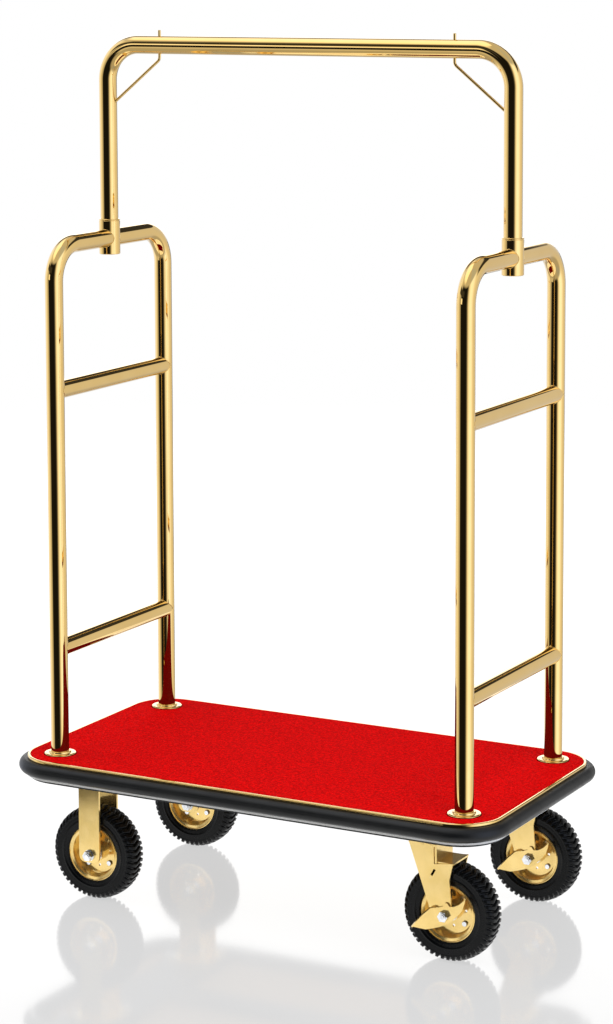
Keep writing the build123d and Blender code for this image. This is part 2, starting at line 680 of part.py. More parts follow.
def rim_half(side):
    """Pressed half rim with bearing cup, bolt holes and small vents."""
    body = turned_y([(r, -side * w) for r, w in RIM_HALF])
    for bx, bz in rim_places(RIM_BOLT_RING_R, RIM_BOLT_TURN):
        body -= rod_y(RIM_BOLT_R + PIN_PLAY, bx, bz, -20, 20)
    for bx, bz in rim_places(VENT_RING_R, RIM_BOLT_TURN + 180 / RIM_BOLT_COUNT):
        body -= rod_y(VENT_R, bx, bz, -20, 20)
    if side < 0:
        body -= STEM_PLACE * rod_z(3.2, 0, 0, -2, 12)
    return body


def hub_bearing(side):
    """Shielded ball bearing pressed into the rim's cup."""
    shield = BEARING_OUTER - 0.7
    profile = [(BEARING_BORE_R, BEARING_INNER), (HUB_R, BEARING_INNER), (HUB_R, BEARING_OUTER),
               (HUB_R - 2.3, BEARING_OUTER), (HUB_R - 2.6, shield),
               (BEARING_BORE_R + 2.9, shield), (BEARING_BORE_R + 2.6, BEARING_OUTER),
               (BEARING_BORE_R, BEARING_OUTER)]
    return turned_y([(r, -side * w) for r, w in profile])


def rim_bolt_set():
    """Four round-head bolts and their nuts clamping the rim halves."""
    pieces = []
    for bx, bz in rim_places(RIM_BOLT_RING_R, RIM_BOLT_TURN):
        dome = Pos(bx, -RIM_SHEET, bz) * Sphere(6.5)
        dome &= rod_y(5.8, bx, bz, -RIM_SHEET - 4.4, -RIM_SHEET)
        bolt = dome + rod_y(RIM_BOLT_R, bx, bz, -RIM_SHEET, 11)
        nut = hex_y(13, bx, bz, RIM_SHEET, RIM_SHEET + 6.5)
        nut -= rod_y(RIM_BOLT_R + PIN_PLAY, bx, bz, 0, 12)
        pieces += [bolt, nut]
    return pieces


def save_wheel(name, x, y, shapes):
    place = Pos(x, y, WHEEL_R)
    for piece, shape in shapes.items():
        if isinstance(shape, list):
            save(name + "_" + piece, group([place * s for s in shape]))
        else:
            save(name + "_" + piece, place * shape)


# ---------------------------------------------------------------------------
# build every piece
# ---------------------------------------------------------------------------

save("deck_frame", deck_frame())
save("deck_board", deck_board())
save("carpet", carpet())
save("upper_trim", upper_trim())
save("bumper", bumper())
save("lower_trim", lower_trim())

for side, name in ((-1, "left"), (1, "right")):
    save(name + "_side_frame", side_frame(side * POST_X))
    save(name + "_upper_rung", rung(side * POST_X, UPPER_RUNG_Z))
    save(name + "_lower_rung", rung(side * POST_X, LOWER_RUNG_Z))
    save(name + "_collar", collar(side * POST_X))
    save(name + "_corner_brace", corner_brace(side))
save("hanging_rail", hanging_rail())

save("post_flanges", group([post_flange(x, y) for x, y in post_places()]))
post_pieces = []
for x, y in post_places():
    post_pieces += post_bolt_set(x, y)
save("post_bolts", group(post_pieces))

bolt_pieces = []
for x, y in plate_bolt_places():
    bolt_pieces += plate_bolt(x, y)
for y in (-CASTER_Y, CASTER_Y):
    for oy in (-RIVET_SPREAD, RIVET_SPREAD):
        bolt_pieces += web_rivet(-CASTER_X, y + oy)
save("caster_bolts", group(bolt_pieces))

wheel_shapes = {
    "tyre": tyre(),
    "inner_tube": inner_tube(),
    "outer_rim": rim_half(-1),
    "inner_rim": rim_half(1),
    "hub_bearings": [hub_bearing(-1), hub_bearing(1)],
    "rim_bolts": rim_bolt_set(),
}

for sy, row in ((-1, "front"), (1, "rear")):
    y = sy * CASTER_Y
    left = "left_" + row
    right = "right_" + row
    save(left + "_fork", rigid_fork(-CASTER_X, y))
    save(left + "_axle", group(axle_set(-CASTER_X, y, RIGID_LEG_THICK, False)))
    save_wheel(left, -CASTER_X, y, wheel_shapes)
    save(right + "_top_plate", race_plate(CASTER_X, y))
    save(right + "_swivel_balls", group(ball_ring(CASTER_X, y)))
    save(right + "_kingpin", group(kingpin(CASTER_X, y)))
    save(right + "_fork", swivel_fork(CASTER_X, y))
    wheel_x = CASTER_X + CASTER_TRAIL
    save(right + "_axle", group(axle_set(wheel_x, y, SWIVEL_LEG_THICK, True)))
    save(right + "_brake_lever", brake_lever(wheel_x, y))
    save_wheel(right, wheel_x, y, wheel_shapes)
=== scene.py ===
"""Looks of a hotel luggage cart: polished brass uprights and rail on a carpeted deck
with a black bumper, on four air-filled wheels, the right pair swivelling with brakes.
Metres, Z up, X along the deck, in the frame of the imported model."""

import math

import bmesh
import bpy
import numpy as np
from mathutils import Matrix, Vector


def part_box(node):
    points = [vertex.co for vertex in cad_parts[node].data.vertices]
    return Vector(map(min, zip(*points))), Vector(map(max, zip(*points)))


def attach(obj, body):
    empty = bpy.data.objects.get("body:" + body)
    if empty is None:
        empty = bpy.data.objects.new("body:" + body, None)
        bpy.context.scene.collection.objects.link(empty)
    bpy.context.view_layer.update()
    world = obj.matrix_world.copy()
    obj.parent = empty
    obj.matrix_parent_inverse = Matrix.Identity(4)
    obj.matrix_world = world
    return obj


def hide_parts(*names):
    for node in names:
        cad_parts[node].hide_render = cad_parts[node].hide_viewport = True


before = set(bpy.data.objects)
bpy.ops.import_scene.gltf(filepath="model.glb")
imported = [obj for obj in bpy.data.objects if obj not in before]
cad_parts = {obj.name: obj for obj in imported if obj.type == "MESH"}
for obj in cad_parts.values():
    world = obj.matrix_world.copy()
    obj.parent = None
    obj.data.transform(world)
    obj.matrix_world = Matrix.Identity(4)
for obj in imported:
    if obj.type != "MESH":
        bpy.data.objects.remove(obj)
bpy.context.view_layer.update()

MM = 0.001

# ---------------------------------------------------------------------------
# sizes, most of them read from the frame
# ---------------------------------------------------------------------------

post_low, post_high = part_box("left_side_frame")
TUBE_R = (post_high.x - post_low.x) / 2
POST_X = -(post_low.x + post_high.x) / 2
POST_Y = post_high.y - TUBE_R
BOARD_TOP = post_low.z
FRAME_BAR_Z = post_high.z - TUBE_R
BEND_R = 4 * TUBE_R
RAIL_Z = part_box("hanging_rail")[1].z - TUBE_R

trim_low, trim_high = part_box("upper_trim")
DECK_X = trim_high.x
DECK_Y = trim_high.y
DECK_CORNER = 90 * MM
EDGE_BACK = 6 * MM            # how far the deck's edge pieces reach in behind the bead's face
strip_low, strip_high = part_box("lower_trim")
bumper_low, bumper_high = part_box("bumper")
carpet_low, carpet_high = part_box("carpet")
FLANGE_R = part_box("post_flanges")[1].x - POST_X
FLANGE_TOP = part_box("post_flanges")[1].z
CARPET_HOLE_R = FLANGE_R + 1 * MM
CLOSE_FIT = 0.2 * MM          # gap round a tube in a socket or a bead

tyre_low, tyre_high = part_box("left_front_tyre")
WHEEL_R = (tyre_high.z - tyre_low.z) / 2
LUG_COUNT = 48
LUG_DEPTH = 5.4 * MM

ROUND_STEPS = 96              # points round a tube or a hole

POSTS = [(sx * POST_X, sy * POST_Y) for sx in (-1, 1) for sy in (-1, 1)]
WHEELS = ("left_front", "left_rear", "right_front", "right_rear")


def centre_of(cad_node):
    low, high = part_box(cad_node)
    return (low + high) / 2


# ---------------------------------------------------------------------------
# mesh building
# ---------------------------------------------------------------------------

SHARP_ANGLE = 50.0            # degrees; edges turned more than this stay crisp


def new_piece(name, verts, faces, finish, body, replaced=()):
    """Smooth-shaded piece from lists of points and faces, riding on a body."""
    mesh = bpy.data.meshes.new(name)
    mesh.from_pydata([tuple(v) for v in verts], [], faces)
    mesh.shade_smooth()
    mesh.set_sharp_from_angle(angle=math.radians(SHARP_ANGLE))
    return place_piece(name, mesh, finish, body, replaced)


def place_piece(name, mesh, finish, body, replaced=(), at=(0, 0, 0)):
    piece = bpy.data.objects.new(name, mesh)
    bpy.context.scene.collection.objects.link(piece)
    piece.location = at
    if not mesh.materials:
        mesh.materials.append(bpy.data.materials[finish])
    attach(piece, body)
    if replaced:
        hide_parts(*replaced)
    return piece


def even_shading(piece):
    """Keeps broad faces flat-looking beside their small rounded edges."""
    weighted = piece.modifiers.new("even_shading", "WEIGHTED_NORMAL")
    weighted.weight = 100
    weighted.keep_sharp = True
    return piece


def softened(outline, radius, steps):
    """Closed 2-D outline with its corners rounded by small arcs of about this radius."""
    points = [Vector(p) for p in outline]
    count = len(points)
    made = []
    for i, corner in enumerate(points):
        before = points[i - 1]
        after = points[(i + 1) % count]
        reach = min(radius, (before - corner).length * 0.45, (after - corner).length * 0.45)
        start = corner + (before - corner).normalized() * reach
        end = corner + (after - corner).normalized() * reach
        for k in range(steps + 1):
            t = k / steps
            made.append(start * (1 - t) ** 2 + corner * 2 * t * (1 - t) + end * t * t)
    return made


def grid_faces(rows, columns, wrap_rows, wrap_columns):
    """Four-sided faces over rows of points."""
    faces = []
    for r in range(rows if wrap_rows else rows - 1):
        for c in range(columns if wrap_columns else columns - 1):
            r2 = (r + 1) % rows
            c2 = (c + 1) % columns
            faces.append((r * columns + c, r2 * columns + c, r2 * columns + c2, r * columns + c2))
    return faces


def bent_line(corners, bend, steps=40):
    """Points along straight runs joined by round bends."""
    corners = [Vector(c) for c in corners]
    line = [corners[0]]
    for before, corner, after in zip(corners, corners[1:], corners[2:]):
        back = (before - corner).normalized()
        ahead = (after - corner).normalized()
        half = back.angle(ahead) / 2
        centre = corner + (back + ahead).normalized() * (bend / math.sin(half))
        first = corner + back * (bend / math.tan(half)) - centre
        last = corner + ahead * (bend / math.tan(half)) - centre
        axis = first.cross(last).normalized()
        for i in range(steps + 1):
            turn = Matrix.Rotation((math.pi - 2 * half) * i / steps, 3, axis)
            line.append(centre + turn @ first)
    line.append(corners[-1])
    return line


def round_bar(line, radius, sides=ROUND_STEPS, closed=False):
    """Rings of points round a line, and their faces."""
    count = len(line)
    across = None
    verts = []
    for i, point in enumerate(line):
        ahead = line[(i + 1) % count] if closed or i + 1 < count else point
        behind = line[i - 1] if closed or i else point
        along = (ahead - behind).normalized()
        if across is None:
            across = along.orthogonal()
        across = (across - along * across.dot(along)).normalized()
        up = along.cross(across)
        for k in range(sides):
            a = 2 * math.pi * k / sides
            verts.append(point + across * radius * math.cos(a) + up * radius * math.sin(a))
    faces = grid_faces(count, sides, closed, True)
    if not closed:
        faces.append(tuple(range(sides)))
        faces.append(tuple(reversed(range((count - 1) * sides, count * sides))))
    return verts, faces


def merged(parts):
    """Several (points, faces) lists as one."""
    verts, faces = [], []
    for part_verts, part_faces in parts:
        start = len(verts)
        verts += part_verts
        faces += [tuple(i + start for i in f) for f in part_faces]
    return verts, faces


def turned(profile, centre, sides=128):
    """Closed (radius, height) outline turned about a vertical axis."""
    verts = []
    for r, z in profile:
        for k in range(sides):
            a = 2 * math.pi * k / sides
            verts.append(Vector((r * math.cos(a), r * math.sin(a), z)) + Vector(centre))
    return verts, grid_faces(len(profile), sides, True, True)


def round_the_deck(profile, corner_steps=40):
    """Closed (out, height) section swept round the deck's rounded outline."""
    places = []
    for sx, sy, start in ((1, 1, 0), (-1, 1, 90), (-1, -1, 180), (1, -1, 270)):
        centre = Vector((sx * (DECK_X - DECK_CORNER), sy * (DECK_Y - DECK_CORNER)))
        for i in range(corner_steps + 1):
            a = math.radians(start + 90 * i / corner_steps)
            places.append((centre, Vector((math.cos(a), math.sin(a)))))
    verts = []
    for centre, out in places:
        for reach, z in profile:
            at = centre + out * (DECK_CORNER + reach)
            verts.append(Vector((at.x, at.y, z)))
    return verts, grid_faces(len(places), len(profile), True, True)


# ---------------------------------------------------------------------------
# shader building
# ---------------------------------------------------------------------------

def add(tree, kind, inputs=None, **settings):
    """A node with its settings made and its inputs set or linked."""
    made = tree.nodes.new(kind)
    for key, value in settings.items():
        setattr(made, key, value)
    for key, value in (inputs or {}).items():
        if isinstance(value, bpy.types.NodeSocket):
            tree.links.new(value, made.inputs[key])
        else:
            made.inputs[key].default_value = value
    return made


def maths(tree, operation, a, b=0.0, c=0.0):
    return add(tree, "ShaderNodeMath", {0: a, 1: b, 2: c}, operation=operation).outputs[0]


def remap(tree, value, low, high, to_low=0.0, to_high=1.0):
    """Eased step from to_low at low to to_high at high."""
    made = add(tree, "ShaderNodeMapRange", {
        "Value": value, "From Min": low, "From Max": high,
        "To Min": to_low, "To Max": to_high}, interpolation_type="SMOOTHSTEP")
    return made.outputs["Result"]


def mixed(tree, amount, a, b):
    """Colour between a and b; the numbers are the mix node's own colour sockets."""
    return add(tree, "ShaderNodeMix", {0: amount, 6: a, 7: b}, data_type="RGBA").outputs[2]


def noise(tree, where, scale, detail=3.0, roughness=0.55, distortion=0.0):
    made = add(tree, "ShaderNodeTexNoise", {
        "Vector": where, "Scale": scale, "Detail": detail,
        "Roughness": roughness, "Distortion": distortion})
    return made.outputs["Fac"]


def stretched(tree, where, scale, turn=(0, 0, 0)):
    made = add(tree, "ShaderNodeMapping", {"Vector": where, "Scale": scale, "Rotation": turn})
    return made.outputs["Vector"]


def new_group(name, inputs, outputs):
    """Empty shader group with named sockets: (tree, its input sockets, its output node)."""
    tree = bpy.data.node_groups.new(name, "ShaderNodeTree")
    for label, kind, value in inputs:
        socket = tree.interface.new_socket(label, in_out="INPUT", socket_type="NodeSocket" + kind)
        if value is not None:
            socket.default_value = value
    for label, kind in outputs:
        tree.interface.new_socket(label, in_out="OUTPUT", socket_type="NodeSocket" + kind)
    entry = tree.nodes.new("NodeGroupInput")
    return tree, entry.outputs, tree.nodes.new("NodeGroupOutput")


def make_handling_marks():
    """Smudges, hairline scratches and a slight waviness left by hands and cloths."""
    tree, given, result = new_group(
        "handling_marks",
        [("Vector", "Vector", None), ("Smudge Scale", "Float", 14.0),
         ("Scratch Scale", "Float", 60.0), ("Scratch Cover", "Float", 0.5)],
        [("Smudge", "Float"), ("Scratch", "Float"), ("Height", "Float")])
    where = given["Vector"]
    blot = noise(tree, where, given["Smudge Scale"], 5.0, 0.62, 0.6)
    smudge = remap(tree, blot, 0.42, 0.72)
    lines = []
    for scale, turn in (((9, 0.35, 0.35), (0.3, 0.2, 0.9)), ((0.35, 9, 0.35), (0.7, 0.1, 0.4)),
                        ((0.35, 0.35, 9), (0.2, 0.8, 0.1))):
        streak = noise(tree, stretched(tree, where, scale, turn), given["Scratch Scale"], 2.0, 0.5)
        lines.append(remap(tree, streak, 0.70, 0.76))
    every = maths(tree, "MAXIMUM", maths(tree, "MAXIMUM", lines[0], lines[1]), lines[2])
    patch = remap(tree, noise(tree, where, 7.0, 2.0), 0.40, 0.62)
    scratch = maths(tree, "MULTIPLY", maths(tree, "MULTIPLY", every, patch), given["Scratch Cover"])
    wave = noise(tree, where, 11.0, 1.0, 0.4)
    height = maths(tree, "SUBTRACT", wave, maths(tree, "MULTIPLY", scratch, 0.02))
    for label, value in (("Smudge", smudge), ("Scratch", scratch), ("Height", height)):
        tree.links.new(value, result.inputs[label])
    return tree


def make_tone_drift():
    """Slow wandering between two tones of one finish."""
    tree, given, result = new_group(
        "tone_drift",
        [("Vector", "Vector", None), ("Tone A", "Color", (1, 1, 1, 1)),
         ("Tone B", "Color", (0, 0, 0, 1)), ("Scale", "Float", 8.0)],
        [("Color", "Color"), ("Mask", "Float")])
    cloud = noise(tree, given["Vector"], given["Scale"], 6.0, 0.65, 0.3)
    mask = remap(tree, cloud, 0.34, 0.68)
    tree.links.new(mixed(tree, mask, given["Tone A"], given["Tone B"]), result.inputs["Color"])
    tree.links.new(mask, result.inputs["Mask"])
    return tree


def make_settled_dust():
    """Dust lying on what faces up, broken by a fine speckle."""
    tree, given, result = new_group(
        "settled_dust",
        [("Vector", "Vector", None), ("Speckle Scale", "Float", 350.0),
         ("Everywhere", "Float", 0.1)],
        [("Mask", "Float")])
    normal = add(tree, "ShaderNodeNewGeometry").outputs["Normal"]
    up = add(tree, "ShaderNodeSeparateXYZ", {"Vector": normal}).outputs["Z"]
    lying = maths(tree, "MAXIMUM", remap(tree, up, 0.35, 0.95), given["Everywhere"])
    speckle = remap(tree, noise(tree, given["Vector"], given["Speckle Scale"], 4.0, 0.7), 0.45, 0.75)
    drift = remap(tree, noise(tree, given["Vector"], 16.0, 3.0), 0.35, 0.7)
    mask = maths(tree, "MULTIPLY", maths(tree, "MULTIPLY", lying, speckle), drift)
    tree.links.new(mask, result.inputs["Mask"])
    return tree


def make_fine_grain():
    """Tight pebbled grain of moulded rubber and powder coat."""
    tree, given, result = new_group(
        "fine_grain",
        [("Vector", "Vector", None), ("Scale", "Float", 900.0)],
        [("Height", "Float")])
    pebble = add(tree, "ShaderNodeTexVoronoi", {
        "Vector": given["Vector"], "Scale": given["Scale"]}, feature="SMOOTH_F1")
    soft = noise(tree, given["Vector"], maths(tree, "MULTIPLY", given["Scale"], 0.45), 3.0)
    height = maths(tree, "ADD", maths(tree, "MULTIPLY", pebble.outputs["Distance"], 0.6), soft)
    tree.links.new(height, result.inputs["Height"])
    return tree


GROUPS = {
    "marks": make_handling_marks(),
    "drift": make_tone_drift(),
    "dust": make_settled_dust(),
    "grain": make_fine_grain(),
}


def grouped(tree, which, inputs):
    """Outputs of a shared effect, placed with this finish's own values."""
    return add(tree, "ShaderNodeGroup", inputs, node_tree=GROUPS[which]).outputs


def start_finish(name, **constants):
    """Clears the slot's material: (tree, where, surface shader)."""
    material = bpy.data.materials.get(name) or bpy.data.materials.new(name)
    material.use_nodes = True
    tree = material.node_tree
    tree.nodes.clear()
    surface = tree.nodes.new("ShaderNodeBsdfPrincipled")
    for label, value in constants.items():
        surface.inputs[label.replace("_", " ")].default_value = value
    out = tree.nodes.new("ShaderNodeOutputMaterial")
    tree.links.new(surface.outputs[0], out.inputs["Surface"])
    where = tree.nodes.new("ShaderNodeTexCoord").outputs["Object"]
    return tree, where, surface


def bump(tree, surface, height, strength, distance):
    made = add(tree, "ShaderNodeBump", {
        "Height": height, "Strength": strength, "Distance": distance})
    tree.links.new(made.outputs["Normal"], surface.inputs["Normal"])


def sum_of(tree, start, *parts):
    """start plus each (mask, share)."""
    total = start
    for mask, share in parts:
        total = maths(tree, "MULTIPLY_ADD", mask, share, total)
    return total


def finish_brass():
    tree, where, surface = start_finish(
        "polished_brass", Metallic=1.0, Coat_Weight=0.7, Coat_Roughness=0.03)
    tone = grouped(tree, "drift", {
        "Vector": where, "Scale": 7.0,
        "Tone A": (0.92, 0.630, 0.215, 1), "Tone B": (0.89, 0.595, 0.185, 1)})
    marks = grouped(tree, "marks", {"Vector": where, "Smudge Scale": 16.0, "Scratch Cover": 0.4})
    tree.links.new(tone["Color"], surface.inputs["Base Color"])
    rough = sum_of(tree, 0.02, (marks["Smudge"], 0.025), (marks["Scratch"], 0.08))
    tree.links.new(rough, surface.inputs["Roughness"])
    bump(tree, surface, marks["Height"], 0.2, 0.0005)


def finish_gold():
    tree, where, surface = start_finish("caster_gold", Metallic=0.78)
    tone = grouped(tree, "drift", {
        "Vector": where, "Scale": 26.0,
        "Tone A": (0.90, 0.66, 0.26, 1), "Tone B": (0.84, 0.60, 0.21, 1)})
    marks = grouped(tree, "marks", {
        "Vector": where, "Smudge Scale": 38.0, "Scratch Scale": 160.0, "Scratch Cover": 0.7})
    dust = grouped(tree, "dust", {"Vector": where, "Everywhere": 0.03})
    worn = mixed(tree, maths(tree, "MULTIPLY", marks["Scratch"], 0.3), tone["Color"],
                 (0.86, 0.74, 0.48, 1))
    colour = mixed(tree, maths(tree, "MULTIPLY", dust["Mask"], 0.12), worn, (0.32, 0.28, 0.21, 1))
    tree.links.new(colour, surface.inputs["Base Color"])
    rough = sum_of(tree, 0.15, (marks["Smudge"], 0.05), (dust["Mask"], 0.10))
    tree.links.new(rough, surface.inputs["Roughness"])
    grain = grouped(tree, "grain", {"Vector": where, "Scale": 700.0})
    bump(tree, surface, grain["Height"], 0.05, 0.0002)


def finish_zinc():
    tree, where, surface = start_finish("zinc_steel", Metallic=1.0)
    tone = grouped(tree, "drift", {
        "Vector": where, "Scale": 90.0,
        "Tone A": (0.82, 0.83, 0.85, 1), "Tone B": (0.62, 0.64, 0.67, 1)})
    marks = grouped(tree, "marks", {
        "Vector": where, "Smudge Scale": 80.0, "Scratch Scale": 260.0, "Scratch Cover": 0.8})
    tree.links.new(tone["Color"], surface.inputs["Base Color"])
    rough = sum_of(tree, 0.12, (tone["Mask"], 0.10), (marks["Scratch"], 0.2))
    tree.links.new(rough, surface.inputs["Roughness"])
    bump(tree, surface, marks["Height"], 0.2, 0.0002)


def finish_strip():
    tree, where, surface = start_finish("pale_strip", Metallic=0.0)
    tone = grouped(tree, "drift", {
        "Vector": where, "Scale": 20.0,
        "Tone A": (0.93, 0.93, 0.91, 1), "Tone B": (0.84, 0.83, 0.80, 1)})
    dust = grouped(tree, "dust", {"Vector": where, "Everywhere": 0.25})
    colour = mixed(tree, maths(tree, "MULTIPLY", dust["Mask"], 0.3), tone["Color"],
                   (0.35, 0.33, 0.30, 1))
    tree.links.new(colour, surface.inputs["Base Color"])
    tree.links.new(sum_of(tree, 0.30, (tone["Mask"], 0.12)), surface.inputs["Roughness"])
    grain = grouped(tree, "grain", {"Vector": where, "Scale": 1200.0})
    bump(tree, surface, grain["Height"], 0.1, 0.0002)


def finish_bumper():
    tree, where, surface = start_finish("bumper_rubber", Metallic=0.0, Specular_IOR_Level=0.30)
    tone = grouped(tree, "drift", {
        "Vector": where, "Scale": 9.0,
        "Tone A": (0.0060, 0.0066, 0.0072, 1), "Tone B": (0.0100, 0.0105, 0.0110, 1)})
    marks = grouped(tree, "marks", {
        "Vector": where, "Smudge Scale": 22.0, "Scratch Scale": 70.0, "Scratch Cover": 0.6})
    dust = grouped(tree, "dust", {"Vector": where, "Everywhere": 0.06})
    scuffed = mixed(tree, maths(tree, "MULTIPLY", marks["Scratch"], 0.15), tone["Color"],
                    (0.09, 0.09, 0.09, 1))
    colour = mixed(tree, maths(tree, "MULTIPLY", dust["Mask"], 0.07), scuffed,
                   (0.20, 0.19, 0.17, 1))
    tree.links.new(colour, surface.inputs["Base Color"])
    rough = sum_of(tree, 0.36, (marks["Smudge"], 0.10), (dust["Mask"], 0.25))
    tree.links.new(rough, surface.inputs["Roughness"])
    grain = grouped(tree, "grain", {"Vector": where, "Scale": 950.0})
    bump(tree, surface, grain["Height"], 0.22, 0.0004)


def finish_tyre():
    tree, where, surface = start_finish(
        "tyre_rubber", Metallic=0.0, Specular_IOR_Level=0.15)
    tone = grouped(tree, "drift", {
        "Vector": where, "Scale": 30.0,
        "Tone A": (0.0025, 0.0030, 0.0034, 1), "Tone B": (0.0050, 0.0056, 0.0060, 1)})
    dust = grouped(tree, "dust", {"Vector": where, "Everywhere": 0.30, "Speckle Scale": 500.0})
    colour = mixed(tree, maths(tree, "MULTIPLY", dust["Mask"], 0.01), tone["Color"],
                   (0.16, 0.15, 0.135, 1))
    tree.links.new(colour, surface.inputs["Base Color"])
    rough = sum_of(tree, 0.21, (tone["Mask"], 0.07), (dust["Mask"], 0.3))
    tree.links.new(rough, surface.inputs["Roughness"])
    grain = grouped(tree, "grain", {"Vector": where, "Scale": 800.0})
    bump(tree, surface, grain["Height"], 0.18, 0.0004)


def finish_carpet():
    """Needle-punched pile: short tangled fibres in clumps a few millimetres wide."""
    tree, where, surface = start_finish(
        "red_carpet", Metallic=0.0, Roughness=0.95, Specular_IOR_Level=0.02,
        Sheen_Weight=0.02, Sheen_Roughness=0.45, Sheen_Tint=(1.0, 0.12, 0.1, 1.0))
    fibre = noise(tree, where, 1500.0, 4.0, 0.75, 1.2)
    clump = noise(tree, where, 210.0, 3.0, 0.6, 0.8)
    knot = add(tree, "ShaderNodeTexVoronoi", {
        "Vector": where, "Scale": 230.0, "Randomness": 1.0}, feature="SMOOTH_F1")
    tread = noise(tree, where, 3.5, 4.0, 0.6)
    pile = maths(tree, "ADD", maths(tree, "MULTIPLY", fibre, 0.45),
                 maths(tree, "MULTIPLY", clump, 0.55))
    shade = remap(tree, pile, 0.42, 0.58)
    deep = (0.50, 0.0008, 0.0011, 1)
    bright = (0.97, 0.0022, 0.0024, 1)
    pile_colour = mixed(tree, shade, deep, bright)
    lying = remap(tree, tread, 0.3, 0.7, 0.0, 0.16)
    colour = mixed(tree, lying, pile_colour, (0.70, 0.0018, 0.0022, 1))
    # painted shade: seen in the polished posts, the pile is painted a near-black red in place of its
    # own colour
    rays = tree.nodes.new("ShaderNodeLightPath")
    painted_reflection_shade = maths(tree, "MULTIPLY", rays.outputs["Is Glossy Ray"], 0.82)
    colour = mixed(tree, painted_reflection_shade, colour, (0.02, 0.0010, 0.0010, 1))
    tree.links.new(colour, surface.inputs["Base Color"])
    height = maths(tree, "ADD", pile, maths(tree, "MULTIPLY", knot.outputs["Distance"], 0.5))
    bump(tree, surface, height, 0.65, 0.0022)


def finish_plywood():
    tree, where, surface = start_finish("plywood", Metallic=0.0)
    long_grain = noise(tree, stretched(tree, where, (1.5, 30, 30)), 4.0, 6.0, 0.6, 1.0)
    rings = noise(tree, stretched(tree, where, (0.8, 9, 9)), 3.0, 2.0, 0.5, 2.0)
    height = add(tree, "ShaderNodeSeparateXYZ", {"Vector": where}).outputs["Z"]
    layer = maths(tree, "PINGPONG", height, 3 * MM)
    ply = remap(tree, layer, 1.2 * MM, 1.8 * MM)
    wood = mixed(tree, remap(tree, long_grain, 0.35, 0.65), (0.50, 0.31, 0.15, 1),
                 (0.66, 0.45, 0.25, 1))
    wood = mixed(tree, maths(tree, "MULTIPLY", remap(tree, rings, 0.45, 0.6), 0.35), wood,
                 (0.36, 0.20, 0.09, 1))
    edge = mixed(tree, ply, (0.30, 0.17, 0.08, 1), wood)
    normal = add(tree, "ShaderNodeNewGeometry").outputs["Normal"]
    up = add(tree, "ShaderNodeSeparateXYZ", {"Vector": normal}).outputs["Z"]
    face = remap(tree, maths(tree, "ABSOLUTE", up), 0.5, 0.9)
    tree.links.new(mixed(tree, face, edge, wood), surface.inputs["Base Color"])
    tree.links.new(sum_of(tree, 0.52, (long_grain, 0.25)), surface.inputs["Roughness"])
    bump(tree, surface, long_grain, 0.35, 0.0006)


def finish_black_steel():
    tree, where, surface = start_finish("black_steel", Metallic=0.0, Specular_IOR_Level=0.5)
    tone = grouped(tree, "drift", {
        "Vector": where, "Scale": 12.0,
        "Tone A": (0.012, 0.012, 0.013, 1), "Tone B": (0.024, 0.024, 0.025, 1)})
    dust = grouped(tree, "dust", {"Vector": where, "Everywhere": 0.12})
    colour = mixed(tree, maths(tree, "MULTIPLY", dust["Mask"], 0.3), tone["Color"],
                   (0.17, 0.16, 0.14, 1))
    tree.links.new(colour, surface.inputs["Base Color"])
    tree.links.new(sum_of(tree, 0.34, (tone["Mask"], 0.12)), surface.inputs["Roughness"])
    grain = grouped(tree, "grain", {"Vector": where, "Scale": 1100.0})
    bump(tree, surface, grain["Height"], 0.3, 0.0004)


finish_brass()
finish_gold()
finish_zinc()
finish_strip()
finish_bumper()
finish_tyre()
finish_carpet()
finish_plywood()
finish_black_steel()


def eased_edges(cad_name, width):
    """Small rounds on a steel piece's cut edges, to catch the light."""
    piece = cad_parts[cad_name]
    weld = piece.modifiers.new("weld", "WELD")
    weld.merge_threshold = 0.01 * MM
    ease = piece.modifiers.new("eased_edges", "BEVEL")
    ease.width = width
    ease.segments = 2
    ease.limit_method = "ANGLE"
    ease.angle_limit = math.radians(35)
    ease.use_clamp_overlap = True
    even_shading(piece)


for wheel in ("right_front", "right_rear"):
    eased_edges(wheel + "_fork", 0.7 * MM)
    eased_edges(wheel + "_brake_lever", 0.5 * MM)


# ---------------------------------------------------------------------------
# brass: side frames, rungs, rail, collars, flanges
# ---------------------------------------------------------------------------

BEAD_STEPS = 72               # points along a brazing bead
BEAD_SIDES = 10
RUNG_BEAD_R = 0.8 * MM
COLLAR_BEAD_R = 0.9 * MM
RUNG_BITE = 0.985             # below 1, so a rung's ends reach just inside the posts' skin


def saddle_bead(centre, bar_r, post_r, side, bead_r):
    """Fine bead where a level bar along Y meets an upright, on the side given."""
    line = []
    for i in range(BEAD_STEPS):
        a = 2 * math.pi * i / BEAD_STEPS
        x = bar_r * math.cos(a)
        y = side * math.sqrt(max(post_r ** 2 - x ** 2, 0.0))
        line.append(Vector(centre) + Vector((x, y, bar_r * math.sin(a))))
    return round_bar(line, bead_r, BEAD_SIDES, closed=True)


def side_frame(side):
    x = side * POST_X
    line = bent_line([(x, -POST_Y, BOARD_TOP), (x, -POST_Y, FRAME_BAR_Z),
                      (x, POST_Y, FRAME_BAR_Z), (x, POST_Y, BOARD_TOP)], BEND_R)
    return round_bar(line, TUBE_R)


